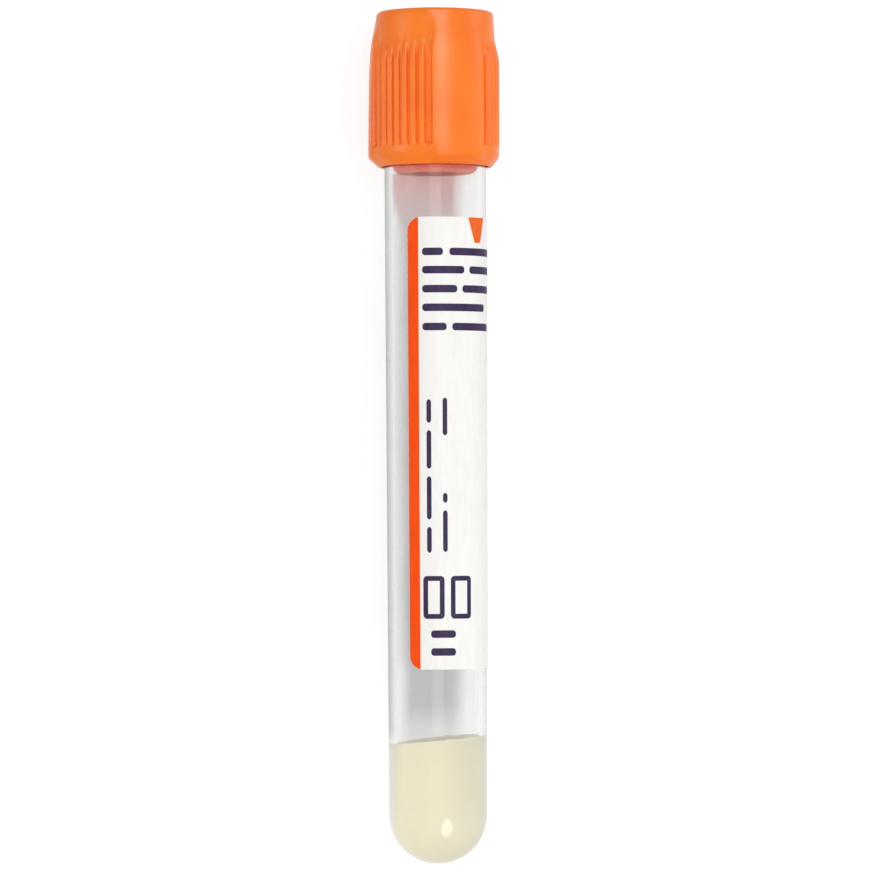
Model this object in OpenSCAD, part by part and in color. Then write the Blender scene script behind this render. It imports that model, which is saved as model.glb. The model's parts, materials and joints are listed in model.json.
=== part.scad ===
// Evacuated blood collection tube with a ribbed shield, a rubber stopper, a gel plug and a label.
// Each piece is drawn standing on the tube's round bottom, with its axis on Z and the printed
// front towards -Y. lay_down() then lays the whole tube on its side, with the closure towards +Y
// and the printed front up. Sizes are in millimetres.

/* [Tube] */
// Length of the tube, from its round bottom to its rim
tube_l = 100; // [75:1:125]
// Outer diameter at the rim
tube_rim_d = 13.05; // [12.6:0.05:14.5]
// Outer diameter where the wall meets the round bottom
tube_foot_d = 12.5; // [11.8:0.05:13.5]
// Thickness of the tube's wall
tube_wall = 1.0; // [0.6:0.05:1.2]
// Chamfer on both edges of the rim
rim_chamfer = 0.2; // [0.05:0.05:0.25]

/* [Gel plug] */
// Height of the gel's surface on the axis, above the tube's bottom
gel_h = 15.9; // [9:0.1:30]
// Slope of the gel's surface, which set while the tube leaned, in degrees
gel_slope = 5.6; // [0.5:0.1:12]
// Gap between the gel and the tube's wall
gel_gap = 0.02; // [0.01:0.01:0.05]

/* [Label] */
// Height of the label's lower edge above the tube's bottom
label_base = 24.9; // [20:0.1:30]
// Bare length between the label's upper edge and the shield's skirt
label_clear = 6.7; // [2:0.1:15]
// Thickness of the label
label_t = 0.1; // [0.06:0.01:0.2]
// Angle of the label's left edge, from the front towards the right, in degrees
label_start = -32.5; // [-60:0.5:0]
// Angle that the label wraps, in degrees
label_span = 245; // [200:1:330]
// Radius of the label's corners
label_corner = 1.8; // [0.5:0.1:3]
// Gap between the label and the tube
label_gap = 0.01; // [0.005:0.005:0.05]

/* [Stopper] */
// Depth of the plug inside the tube
plug_depth = 12.2; // [8:0.1:14]
// Running gap between the plug's foot and the tube's wall
plug_gap = 0.04; // [0.02:0.01:0.08]
// Chamfer around the plug's foot
plug_chamfer = 0.7; // [0.3:0.1:1.2]
// Wall of the plug around the hollow in its foot
plug_wall = 2.25; // [1.5:0.05:3]
// Thickness of the septum between the hollow and the dish
septum_t = 4.2; // [3:0.1:5]
// Thickness of the flange that seats on the tube's rim
seat_t = 2.0; // [1.5:0.1:3]
// Gap between the seat flange and the shield's skirt
seat_gap = 0.35; // [0.2:0.05:0.5]
// How far the head flange overhangs the neck that the shield's ledge grips
head_overhang = 0.75; // [0.4:0.05:1.2]
// Thickness of the head flange
head_t = 1.2; // [0.8:0.1:2]
// Wall of the head around its dish
dish_wall = 2.1; // [1.2:0.1:3]
// Depth of the dish in the head
dish_depth = 2.0; // [1:0.1:2.5]

/* [Shield] */
// Height of the shield's top above the tube's rim
shield_rise = 8.4; // [7.5:0.1:11]
// How far the skirt reaches down over the tube
skirt_l = 11.3; // [10:0.1:14]
// Gap between the skirt and the tube's rim
skirt_gap = 0.275; // [0.2:0.025:0.4]
// Wall of the shield between its ribs
shield_wall = 0.88; // [0.8:0.02:1.4]
// Thickness of the ledge that holds the stopper's neck
ledge_t = 1.2; // [0.9:0.1:1.5]
// Gap between the stopper and the shield's ledge
ledge_gap = 0.05; // [0.02:0.01:0.1]
// Gap around the stopper's head in its pocket
pocket_gap = 0.1; // [0.05:0.05:0.15]
// Height of the pocket above the stopper's head
head_clear = 0.3; // [0.2:0.1:0.6]
// Wall of the shield around the open well above the stopper
well_wall = 1.8; // [1.4:0.05:2.4]
// Step between the well and the narrower pocket that holds the stopper's head
pocket_step = 0.2; // [0.1:0.05:0.5]
// Rounding of the shield's top edge
top_edge_r = 0.6; // [0.3:0.1:0.8]
// Chamfer at the mouth of the well
well_chamfer = 0.3; // [0.1:0.05:0.4]

/* [Grip] */
// Number of ribbed zones around the shield, with a smooth panel between each two
zones = 3; // [2:1:4]
// Angle of the middle of the first ribbed zone, in degrees
zone_mid = -36.5; // [-60:0.5:60]
// Angle that a ribbed zone covers, in degrees
zone_span = 70; // [64:1:76]
// Number of ribs in a zone
ribs = 7; // [3:2:7]
// Angle from rib to rib, in degrees
rib_pitch = 8.5; // [7:0.25:8.5]
// Height of a rib above the wall
rib_h = 0.48; // [0.3:0.02:0.5]
// Width of a rib at its root
rib_root_w = 0.96; // [0.8:0.02:1]
// Width of a rib at its crest
rib_crest_w = 0.68; // [0.4:0.02:0.74]
// Height of the smooth ring above the ribs
ring_h = 3.0; // [2.5:0.1:4.5]
// Height over which a rib slopes out to its crest
rib_slope_h = 3.3; // [1.5:0.1:4]
// How far a smooth panel's foot stands out from the wall
panel_proud = 0.84; // [0.7:0.02:1]
// How far a panel's top lies inside the wall's outer face
panel_inset = 0.25; // [0.1:0.05:0.5]
// Height of a panel's rounded shoulder
shoulder_h = 6.6; // [5:0.1:8]
// Roundness of the shoulder, where 1 is a straight cone
shoulder_power = 1.6; // [1:0.1:2]
// Draft of a panel below its shoulder, in degrees
panel_draft = 1.1; // [0.2:0.1:1.5]
// Height of the plain band below the ribs
band_h = 1.2; // [1:0.1:3]
// How far the band stands out from the wall
band_proud = 0.52; // [0.52:0.02:0.6]
// Height of the chamfer under the band
skirt_chamfer_h = 1.4; // [1.3:0.1:1.6]
// Thickness of the skirt's lower edge
skirt_edge_t = 0.5; // [0.4:0.05:0.6]

/* [Lying pose] */
// Angle on the band, from the edge of a panel to the line that the lying tube rests on
rest_turn = 19; // [17:0.5:30]

/* [Hidden] */
$fn = 96;
cut = 1; // how far a cutter runs past what it cuts
bury = 0.3; // how far a rib or a panel reaches into the wall that it stands on
strip = 0.03; // height of the wall left bare between a panel and the cut above it
rib_over = 0.1; // how far a rib's blank reaches past the crests, before it is trimmed
shoulder_steps = 4; // faces along each part of a panel's rounded shoulder

// Tube: the wall tapers from the rim to the round bottom.
rim_r = tube_rim_d / 2;
foot_r = tube_foot_d / 2;
bore_foot_r = foot_r - tube_wall;
function tube_r(z) = foot_r + (rim_r - foot_r) * (z - foot_r) / (tube_l - foot_r);
function bore_r(z) = tube_r(z) - tube_wall;

// Levels of the stopper and of the shield's inside, from the plug's foot up.
plug_z = tube_l - plug_depth;
seat_top_z = tube_l + seat_t;
ledge_z = seat_top_z + ledge_gap;
ledge_top_z = ledge_z + ledge_t;
head_z = ledge_top_z + ledge_gap;
head_top_z = head_z + head_t;
dish_z = head_top_z - dish_depth;
hollow_top_z = dish_z - septum_t;
pocket_top_z = head_top_z + head_clear;

// Shield, outside.
skirt_z = tube_l - skirt_l;
band_z = skirt_z + skirt_chamfer_h;
band_top_z = band_z + band_h;
top_z = tube_l + shield_rise;
shoulder_z = top_z - shoulder_h;
skirt_in_r = rim_r + skirt_gap;
wall_r = skirt_in_r + shield_wall;
crest_r = wall_r + rib_h;
band_r = wall_r + band_proud;
panel_foot_r = wall_r + panel_proud;
shoulder_r = panel_foot_r - (shoulder_z - band_z) * tan(panel_draft);
panel_top_r = wall_r - panel_inset;
shoulder_end_z = top_z - top_edge_r;
zone_turn = 360 / zones;
panel_span = zone_turn - zone_span;

// Radii of the shield's inside and of the stopper, from the wall inwards.
well_r = wall_r - well_wall;
pocket_r = well_r - pocket_step;
head_r = pocket_r - pocket_gap;
neck_r = head_r - head_overhang;
ledge_r = neck_r + ledge_gap;
dish_r = head_r - dish_wall;
seat_r = skirt_in_r - seat_gap;
plug_r = bore_r(plug_z) - plug_gap;
hollow_r = plug_r - plug_wall;

// Label, below the skirt.
label_top = skirt_z - label_clear;

// Panels, by angle: the first one starts where the first ribbed zone ends.
first_panel = zone_mid + zone_span / 2;

// Reach of the shield's lower rim from the axis, in one direction: the band's, or that of the
// nearest panel's edge where it stands out further.
function from_panel(angle) =
    let (past = (angle - first_panel) - zone_turn * floor((angle - first_panel) / zone_turn))
    past < panel_span ? 0 : min(past - panel_span, zone_turn - past);
function reach(angle) = max(band_r, panel_foot_r * cos(min(from_panel(angle), 90)));

// Lying pose: the tube rests on its round bottom and on the shield's band, between two panels
// whose edges keep it from rolling away.
back_panel_end = first_panel + panel_span
    + zone_turn * floor((180 - first_panel - panel_span) / zone_turn);
roll = 180 - back_panel_end - rest_turn;
rest_l = band_z - foot_r;
tilt = atan(band_r / rest_l) - asin(foot_r / norm([rest_l, band_r]));
low_y = foot_r * cos(tilt) - foot_r;
high_y = top_z * cos(tilt) + (wall_r - top_edge_r) * sin(tilt);
middle_x = (reach(90 - roll) - reach(-90 - roll)) / 2;

// Lays an upright piece on its side, with the middle of the whole part over the origin.
module lay_down() {
    translate([-middle_x, -(low_y + high_y) / 2, foot_r * (1 - sin(tilt))])
        rotate([-(90 - tilt), 0, 0])
            rotate([0, 0, roll])
                children();
}

// Turns a half section around the axis, from one angle to the next, counted from the front.
module sector(start, span) {
    rotate([0, 0, start - 90])
        rotate_extrude(angle = span)
            children();
}

// Half section of a round-bottomed tapering wall, filled in to the axis.
module bullet_section(end_r, wall_end_r, end_z) {
    intersection() {
        translate([0, foot_r])
            circle(r = end_r);
        translate([0, foot_r - end_r])
            square([end_r + cut, end_r]);
    }
    polygon([[0, foot_r], [end_r, foot_r], [wall_end_r, end_z], [0, end_z]]);
}

// Clear tapering tube with a round bottom and a chamfered rim.
module tube() {
    color([0.86, 0.88, 0.88, 0.45])
        difference() {
            rotate_extrude()
                bullet_section(foot_r, rim_r, tube_l);
            rotate_extrude()
                bullet_section(bore_foot_r, bore_r(tube_l + cut), tube_l + cut);
            translate([0, 0, tube_l - rim_chamfer])
                cylinder(
                    h = rim_chamfer + cut,
                    r1 = bore_r(tube_l),
                    r2 = bore_r(tube_l) + rim_chamfer + cut
                );
            rotate_extrude()
                polygon([
                    [rim_r, tube_l - rim_chamfer],
                    [rim_r + cut, tube_l - rim_chamfer],
                    [rim_r + cut, tube_l + cut],
                    [rim_r - rim_chamfer - cut, tube_l + cut]
                ]);
        }
}

// Gel that fills the round bottom, under a slanted surface.
module gel_plug() {
    color([0.93, 0.9, 0.77])
        difference() {
            rotate_extrude()
                bullet_section(bore_foot_r - gel_gap, bore_r(2 * gel_h) - gel_gap, 2 * gel_h);
            translate([0, 0, gel_h])
                rotate([0, -gel_slope, 0])
                    translate([-tube_rim_d, -tube_rim_d, 0])
                        cube([2 * tube_rim_d, 2 * tube_rim_d, 2 * gel_h]);
        }
}

// Cuts one rounded corner of the label: side is 1 at its start and -1 at its end, and up is 1
// at its lower edge and -1 at its upper edge.
module label_corner_cut(angle, z, side, up) {
    rotate([0, 0, angle])
        translate([0, 0, z])
            rotate([90, 0, 0])
                linear_extrude(rim_r + cut)
                    scale([side, up])
                        difference() {
                            translate([-cut, -cut])
                                square(label_corner + cut);
                            translate([label_corner, label_corner])
                                circle(r = label_corner);
                        }
}

// Film that wraps most of the way around the tube and leaves a window.
module label() {
    inner = [tube_r(label_base) + label_gap, tube_r(label_top) + label_gap];
    color("white")
        difference() {
            sector(label_start, label_span)
                polygon([
                    [inner[0], label_base],
                    [inner[0] + label_t, label_base],
                    [inner[1] + label_t, label_top],
                    [inner[1], label_top]
                ]);
            for (up = [1, -1]) {
                z = up == 1 ? label_base : label_top;
                label_corner_cut(label_start, z, 1, up);
                label_corner_cut(label_start + label_span, z, -1, up);
            }
        }
}

// Rubber stopper: a hollow plug, a flange on the tube's rim, a neck and a dished head.
module stopper() {
    color([0.72, 0.27, 0.16])
        rotate_extrude()
            polygon([
                [0, hollow_top_z],
                [hollow_r, hollow_top_z],
                [hollow_r, plug_z],
                [plug_r - plug_chamfer, plug_z],
                [plug_r, plug_z + plug_chamfer],
                [plug_r, tube_l],
                [seat_r, tube_l],
                [seat_r, seat_top_z],
                [neck_r, seat_top_z],
                [neck_r, head_z],
                [head_r, head_z],
                [head_r, head_top_z],
                [dish_r, head_top_z],
                [dish_r, dish_z],
                [0, dish_z]
            ]);
}

// Rounded top edge of a wall whose outer face has the given radius, past its first point.
function top_edge(r) = [
    for (a = [22.5:22.5:90]) [r - top_edge_r * (1 - cos(a)), top_z - top_edge_r * (1 - sin(a))]
];

// Blank of the shield, with no panels or ribs: its band, wall, top, well, pocket, ledge and skirt.
module shield_blank() {
    rotate_extrude()
        polygon(concat(
            [
                [skirt_in_r, skirt_z],
                [skirt_in_r + skirt_edge_t, skirt_z],
                [band_r, band_z],
                [band_r, band_top_z],
                [wall_r, band_top_z],
                [wall_r, shoulder_end_z]
            ],
            top_edge(wall_r),
            [
                [well_r + well_chamfer, top_z],
                [well_r, top_z - well_chamfer],
                [well_r, pocket_top_z],
                [pocket_r, pocket_top_z],
                [pocket_r, ledge_top_z],
                [ledge_r, ledge_top_z],
                [ledge_r, ledge_z],
                [skirt_in_r, ledge_z]
            ]
        ));
}

// A panel's shoulder, by its share of the way from the foot of the shoulder to the top edge.
function shoulder_point(share) = [
    shoulder_r - (shoulder_r - panel_top_r) * pow(share, shoulder_power),
    shoulder_z + (shoulder_end_z - shoulder_z) * share
];

// The share at which the shoulder passes the wall's outer face.
cross_share = pow((shoulder_r - wall_r) / (shoulder_r - panel_top_r), 1 / shoulder_power);

// Cuts the wall's top back to a panel's shoulder, where the shoulder lies inside the wall.
module panel_carve(start) {
    foot_z = shoulder_point(cross_share)[1] + strip;
    sector(start, panel_span)
        polygon(concat(
            [[wall_r + cut, foot_z], [wall_r, foot_z]],
            [for (i = [1:shoulder_steps]) shoulder_point(1 - (1 - cross_share) * (1 - i / shoulder_steps))],
            top_edge(panel_top_r),
            [[panel_top_r - top_edge_r, top_z + cut], [wall_r + cut, top_z + cut]]
        ));
}

// Smooth panel that stands out from the wall, from its chamfered foot up to where its shoulder
// meets the wall.
module panel(start) {
    in_r = wall_r - bury;
    sector(start, panel_span)
        polygon(concat(
            [[in_r, band_z - (panel_foot_r - in_r)], [panel_foot_r, band_z]],
            [for (i = [0:shoulder_steps]) shoulder_point(cross_share * i / shoulder_steps)],
            [[in_r, shoulder_point(cross_share)[1]]]
        ));
}

// One upright rib: a trapezoid that tapers to its crest.
module rib_bar() {
    root_r = wall_r - bury;
    over_r = crest_r + rib_over;
    function half_w(r) = (rib_root_w - (rib_root_w - rib_crest_w) * (r - wall_r) / rib_h) / 2;
    translate([0, 0, band_top_z - bury])
        linear_extrude(top_z - band_top_z)
            polygon([
                [-half_w(root_r), -root_r],
                [-half_w(over_r), -over_r],
                [half_w(over_r), -over_r],
                [half_w(root_r), -root_r]
            ]);
}

// All the ribs of one zone, trimmed to their sloping tops and to their crests.
module rib_zone(mid) {
    ring_z = top_z - ring_h;
    intersection() {
        for (i = [-(ribs - 1) / 2:(ribs - 1) / 2])
            rotate([0, 0, mid + i * rib_pitch])
                rib_bar();
        sector(mid - zone_span / 2, zone_span)
            polygon([
                [wall_r - 2 * bury, band_top_z - cut],
                [crest_r, band_top_z - cut],
                [crest_r, ring_z - rib_slope_h],
                [wall_r - 2 * bury, ring_z + 2 * bury * rib_slope_h / rib_h]
            ]);
    }
}

// Shield that covers the stopper: ribbed zones and smooth panels above a plain band.
module shield() {
    color([0.98, 0.49, 0.16]) {
        difference() {
            shield_blank();
            for (i = [0:zones - 1])
                panel_carve(first_panel + i * zone_turn);
        }
        for (i = [0:zones - 1]) {
            panel(first_panel + i * zone_turn);
            rib_zone(zone_mid + i * zone_turn);
        }
    }
}

lay_down() shield();
lay_down() stopper();
lay_down() tube();
lay_down() gel_plug();
lay_down() label();
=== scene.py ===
"""Blood collection tube: a clear tube with a gel plug, a label, a rubber stopper and a shield.

Every piece is modelled standing on the tube's round bottom, with the tube's axis on Z and the
printed front towards -Y, in millimetres turned to metres. It is then laid on its side, into the
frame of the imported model. Angles around the tube are counted from the front towards +X.
"""

import json
import logging
import math
from dataclasses import dataclass
from enum import Enum
from typing import Sequence

import bpy
from mathutils import Matrix, Vector


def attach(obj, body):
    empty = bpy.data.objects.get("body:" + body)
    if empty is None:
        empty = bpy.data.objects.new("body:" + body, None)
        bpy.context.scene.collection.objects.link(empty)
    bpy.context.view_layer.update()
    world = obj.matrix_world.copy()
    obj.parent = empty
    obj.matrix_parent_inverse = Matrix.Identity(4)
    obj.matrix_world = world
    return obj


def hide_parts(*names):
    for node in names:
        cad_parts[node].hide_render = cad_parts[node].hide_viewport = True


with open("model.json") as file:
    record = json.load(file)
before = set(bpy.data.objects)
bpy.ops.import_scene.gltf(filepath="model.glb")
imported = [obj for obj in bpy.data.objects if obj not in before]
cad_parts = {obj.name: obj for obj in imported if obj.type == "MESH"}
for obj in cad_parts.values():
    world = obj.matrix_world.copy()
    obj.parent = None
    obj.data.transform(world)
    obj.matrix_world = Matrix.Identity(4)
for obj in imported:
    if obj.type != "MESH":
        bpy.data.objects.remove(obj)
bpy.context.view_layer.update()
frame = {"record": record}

MM = 0.001
LOG = logging.getLogger("collection_tube")
Point = tuple[float, float]
Colour = tuple[float, float, float, float]
Patch = tuple[float, float, float, float]
Piece = bpy.types.Object
Socket = bpy.types.NodeSocket
Value = float | Sequence[float] | Socket


def srgb(red: float, green: float, blue: float) -> Colour:
    """Turns display values from 0 to 255 into a linear colour.

    Args:
        red: Display value of the red channel.
        green: Display value of the green channel.
        blue: Display value of the blue channel.

    Returns:
        The linear colour, with an alpha of 1.
    """
    def linear(value: float) -> float:
        """Turns one channel into linear light."""
        share = value / 255
        return share / 12.92 if share <= 0.04045 else ((share + 0.055) / 1.055) ** 2.4

    return (linear(red), linear(green), linear(blue), 1.0)


def smooth(low: float, high: float, value: float) -> float:
    """Height at a value of a smooth step from 0 at low to 1 at high."""
    share = min(max((value - low) / (high - low), 0.0), 1.0)
    return share * share * (3 - 2 * share)


def along(table: Sequence[Point], value: float) -> float:
    """Reads a table of (place, amount) rows, with a smooth curve through them.

    Args:
        table: Rows in rising order of place.
        value: Place to read.

    Returns:
        The amount at that place.
    """
    if value <= table[0][0]:
        return table[0][1]
    if value >= table[-1][0]:
        return table[-1][1]
    i = next(k for k in range(len(table) - 1) if table[k + 1][0] >= value)
    (x0, y0), (x1, y1) = table[i], table[i + 1]

    def slope(k: int) -> float:
        """Slope of the curve at row k."""
        a, b = table[max(k - 1, 0)], table[min(k + 1, len(table) - 1)]
        return (b[1] - a[1]) / (b[0] - a[0])

    t = (value - x0) / (x1 - x0)
    m0, m1 = slope(i) * (x1 - x0), slope(i + 1) * (x1 - x0)
    return (
        (2 * t ** 3 - 3 * t ** 2 + 1) * y0
        + (t ** 3 - 2 * t ** 2 + t) * m0
        + (-2 * t ** 3 + 3 * t ** 2) * y1
        + (t ** 3 - t ** 2) * m1
    )


def placed(right: Vector, up: Vector, back: Vector, place: Vector) -> Matrix:
    """Matrix that points X, Y and Z right, up and back, and moves them to a place."""
    return Matrix.Translation(place) @ Matrix((right, up, back)).transposed().to_4x4()


class Slot(Enum):
    """The record's material slots."""

    SHIELD = "shield"
    STOPPER = "stopper"
    TUBE = "tube"
    GEL = "gel"
    LABEL = "label"


class Body(Enum):
    """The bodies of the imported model."""

    TUBE = "tube_body"
    CLOSURE = "closure"


class Reach(Enum):
    """What a lamp lights."""

    GLOSS = "gloss"
    DIFFUSE = "diffuse"


class LyingPose:
    """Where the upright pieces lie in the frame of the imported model."""

    BARREL_MIDDLE = 50.0  # height of the rack_barrel mount above the tube's foot, in mm

    def __init__(self, record: dict) -> None:
        """Reads the pose from two of the record's mounts.

        Args:
            record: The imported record.
        """
        mounts = {m["name"]: m for m in record["mounts"]}
        barrel, top = mounts["rack_barrel"], mounts["closure_top"]
        self.axis = Vector(barrel["axis"]).normalized()
        self.foot = Vector(barrel["pos_m"]) - self.axis * self.BARREL_MIDDLE * MM
        out = Vector(top["pos_m"]) - self.foot
        self.right = (out - self.axis * out.dot(self.axis)).normalized()
        self.back = self.axis.cross(self.right)

    def matrix(self) -> Matrix:
        """The move from the upright frame to the lying one."""
        return placed(self.right, self.back, self.axis, self.foot)

    def point(self, right: float, height: float, front: float) -> Vector:
        """Turns millimetres to the right, up the tube and out of its front into a place."""
        return self.foot + (self.right * right + self.axis * height - self.back * front) * MM


POSE = LyingPose(frame["record"])


class Bench:
    """The operator steps that the pieces share."""

    @staticmethod
    def clear() -> None:
        """Leaves edit mode and deselects everything."""
        if bpy.context.object is not None and bpy.context.object.mode != "OBJECT":
            Bench.close()
        bpy.ops.object.select_all(action="DESELECT")

    @staticmethod
    def close() -> None:
        """Leaves edit mode."""
        bpy.ops.object.mode_set(mode="OBJECT")

    @staticmethod
    def hold(piece: Piece) -> None:
        """Makes a piece the only one that is selected, and the active one.

        Args:
            piece: The piece.
        """
        Bench.clear()
        piece.select_set(True)
        bpy.context.view_layer.objects.active = piece

    @staticmethod
    def edit(piece: Piece) -> None:
        """Opens a piece in edit mode, with all of its points selected.

        Args:
            piece: The piece.
        """
        Bench.hold(piece)
        bpy.ops.object.mode_set(mode="EDIT")
        bpy.ops.mesh.select_mode(type="VERT")
        bpy.ops.mesh.select_all(action="SELECT")

    @staticmethod
    def plane(name: str, size: float = 1.0) -> Piece:
        """Adds a square plane at the origin.

        Args:
            name: Name of the plane.
            size: Length of its sides in mm.

        Returns:
            The plane.
        """
        Bench.clear()
        bpy.ops.mesh.primitive_plane_add(size=size * MM)
        piece = bpy.context.object
        piece.name = piece.data.name = name
        return piece

    @staticmethod
    def weld() -> None:
        """Merges the open piece's doubles, turns its faces outwards and leaves edit mode."""
        bpy.ops.mesh.select_all(action="SELECT")
        bpy.ops.mesh.remove_doubles(threshold=0.002 * MM)
        bpy.ops.mesh.normals_make_consistent(inside=False)
        Bench.close()

    @staticmethod
    def soften(piece: Piece, degrees: float) -> None:
        """Shades a piece smooth, apart from edges that are sharper than the angle."""
        Bench.hold(piece)
        bpy.ops.object.shade_smooth_by_angle(angle=math.radians(degrees))

    @staticmethod
    def finish(piece: Piece, looks: "Finish", body: Body, slot: Slot, node: str = "") -> None:
        """Lays an upright piece down, applies its place, dresses it and sets it on its body.

        Args:
            piece: The piece.
            looks: Its finish.
            body: The body that it moves with.
            slot: The record's slot that its finish belongs to; not used.
            node: The CAD node that it stands for, if any.
        """
        Bench.hold(piece)
        piece.matrix_world = POSE.matrix()
        bpy.ops.object.transform_apply(location=True, rotation=True, scale=True)
        piece.data.materials.clear()
        piece.data.materials.append(looks.material())
        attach(piece, body.value)
        if node:
            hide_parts(node)
        LOG.info("%s: %d faces", piece.name, len(piece.data.polygons))


@dataclass
class TurnedPiece:
    """A half section that is drawn point by point and spun around the tube's axis.

    Attributes:
        name: Name of the piece.
        section: Points as radius and height, in mm. A closed section ends where it starts.
        steps: Number of faces around the axis.
    """

    name: str
    section: Sequence[Point]
    steps: int

    def build(self) -> Piece:
        """Draws the section from a plane that shrinks to a point, and spins it.

        Returns:
            The closed piece.
        """
        piece = Bench.plane(self.name)
        Bench.edit(piece)
        bpy.ops.mesh.merge(type="CENTER")
        radius, height = self.section[0]
        bpy.ops.transform.translate(value=(radius * MM, 0, height * MM))
        for r, z in self.section[1:]:
            bpy.ops.mesh.extrude_vertices_move(
                TRANSFORM_OT_translate={"value": ((r - radius) * MM, 0, (z - height) * MM)}
            )
            radius, height = r, z
        Bench.edit(piece)
        bpy.ops.mesh.spin(steps=self.steps, angle=math.tau, center=(0, 0, 0), axis=(0, 0, 1))
        Bench.weld()
        return piece


class NodeTree:
    """Nodes that are laid out one by one."""

    def __init__(self, tree: bpy.types.NodeTree) -> None:
        """Takes the tree that the nodes go to."""
        self.tree = tree

    def plug(self, socket: Socket, value: Value) -> None:
        """Links an output to an input, or sets the input's own value.

        Args:
            socket: The input.
            value: The output, or the input's own value.
        """
        if isinstance(value, Socket):
            self.tree.links.new(value, socket)
        else:
            socket.default_value = value

    def fill(self, node: bpy.types.Node, **values: Value) -> None:
        """Plugs values into a node, by its inputs' names with underscores for spaces."""
        for name, value in values.items():
            self.plug(node.inputs[name.replace("_", " ")], value)

    def add(self, kind: str, *values: Value, **named: Value) -> bpy.types.Node:
        """Adds a node and plugs values into it.

        Args:
            kind: The node's kind.
            values: Values of its first inputs.
            named: Values by the names of their inputs.

        Returns:
            The node.
        """
        node = self.tree.nodes.new(kind)
        for socket, value in zip(node.inputs[:], values):
            self.plug(socket, value)
        self.fill(node, **named)
        return node

    def span(
        self, source: Socket, low: float, high: float, start: float = 0.0, end: float = 1.0,
        soft: bool = False,
    ) -> Socket:
        """Maps a pattern from one range to another.

        Args:
            source: The pattern.
            low: Lower end of its range.
            high: Upper end of its range.
            start: Result at the lower end.
            end: Result at the upper end.
            soft: Whether the result leaves its ends smoothly.

        Returns:
            The mapped output.
        """
        ramp = self.add("ShaderNodeMapRange", source, low, high, start, end)
        ramp.interpolation_type = "SMOOTHSTEP" if soft else "LINEAR"
        return ramp.outputs["Result"]

    def count(self, step: str, *values: Value) -> Socket:
        """Counts with two or three values.

        Args:
            step: The Math node's operation.
            values: The values.

        Returns:
            The result.
        """
        node = self.add("ShaderNodeMath", *values)
        node.operation = step
        return node.outputs["Value"]

    def seen(self) -> Socket:
        """Tells whether a ray sees the ground directly, in gloss or through glass.

        Returns:
            An output that is 1 for such a ray.
        """
        path = self.add("ShaderNodeLightPath").outputs
        open_ray = self.count("MAXIMUM", path["Is Camera Ray"], path["Is Glossy Ray"])
        return self.count("MAXIMUM", open_ray, path["Is Transmission Ray"])


class NodeSheet(NodeTree):
    """A material whose patterns are laid out in the upright frame."""

    def __init__(self, name: str) -> None:
        """Starts a material with one Principled shader.

        Args:
            name: Name of the material.
        """
        self.material = bpy.data.materials.new(name)
        self.material.use_nodes = True
        super().__init__(self.material.node_tree)
        self.shader = self.tree.nodes["Principled BSDF"]
        self.body = self.shader.outputs["BSDF"]
        place = self.add("ShaderNodeTexCoord").outputs["Object"]
        upright = POSE.matrix().inverted()
        turn = self.add("ShaderNodeMapping", place, upright.to_translation(), upright.to_euler())
        self.place = turn.outputs["Vector"]

    def set(self, **values: Value) -> None:
        """Plugs values into the shader."""
        self.fill(self.shader, **values)

    def surface(self, kind: str, *sources: Socket) -> None:
        """Makes a node of that kind, which mixes shaders, the surface."""
        shaded = self.add(kind, *sources).outputs["Shader"]
        self.plug(self.tree.nodes["Material Output"].inputs["Surface"], shaded)

    def noise(self, scale: float, detail: float = 3.0, along_tube: float = 1.0) -> Socket:
        """Adds a noise pattern.

        Args:
            scale: Waves in a metre.
            detail: Octaves of the noise.
            along_tube: How much denser the pattern is along the tube.

        Returns:
            The pattern's output, around 0.5.
        """
        place = self.place
        if along_tube != 1.0:
            drawn = self.add("ShaderNodeMapping", place, Scale=(1, 1, along_tube))
            place = drawn.outputs["Vector"]
        return self.add("ShaderNodeTexNoise", place, Scale=scale, Detail=detail).outputs["Fac"]

    def upright(self, axis: str) -> Socket:
        """Gives one coordinate in the upright frame, X, Y or Z, in metres."""
        return self.add("ShaderNodeSeparateXYZ", self.place).outputs[axis]

    def across(
        self, axis: str, low: float, high: float, *ends: float, soft: bool = False
    ) -> Socket:
        """Maps one upright coordinate, between two places in mm, as span does."""
        return self.span(self.upright(axis), low * MM, high * MM, *ends, soft=soft)

    def blend(self, share: Socket, first: Value, second: Value) -> Socket:
        """Mixes two colours by a pattern.

        Args:
            share: The pattern, from 0 to 1.
            first: Colour where the pattern is 0.
            second: Colour where the pattern is 1.

        Returns:
            The mixed colour.
        """
        mix = self.add("ShaderNodeMix", share)
        mix.data_type = "RGBA"
        sockets = [socket for socket in mix.inputs if socket.type == "RGBA"]
        for socket, colour in zip(sockets, (first, second)):
            self.plug(socket, colour)
        return next(socket for socket in mix.outputs if socket.type == "RGBA")

    def ramp(self, source: Socket, stops: Sequence[tuple[float, Colour]]) -> Socket:
        """Runs a pattern through a row of colours.

        Args:
            source: The pattern, from 0 to 1.
            stops: Places and colours, in rising order of place.

        Returns:
            The colour.
        """
        ramp = self.add("ShaderNodeValToRGB", source)
        bar = ramp.color_ramp
        while len(bar.elements) < len(stops):
            bar.elements.new(0.5)
        for element, (place, colour) in zip(bar.elements, stops):
            element.position = place
            element.color = colour
        return ramp.outputs["Color"]

    def bump(self, source: Socket, depth: float, strength: float = 1.0) -> None:
        """Raises the surface by a pattern, with a depth in mm and the share of it that shows."""
        relief = self.add("ShaderNodeBump", Distance=depth * MM, Strength=strength, Height=source)
        self.set(Normal=relief.outputs["Normal"])


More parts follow.
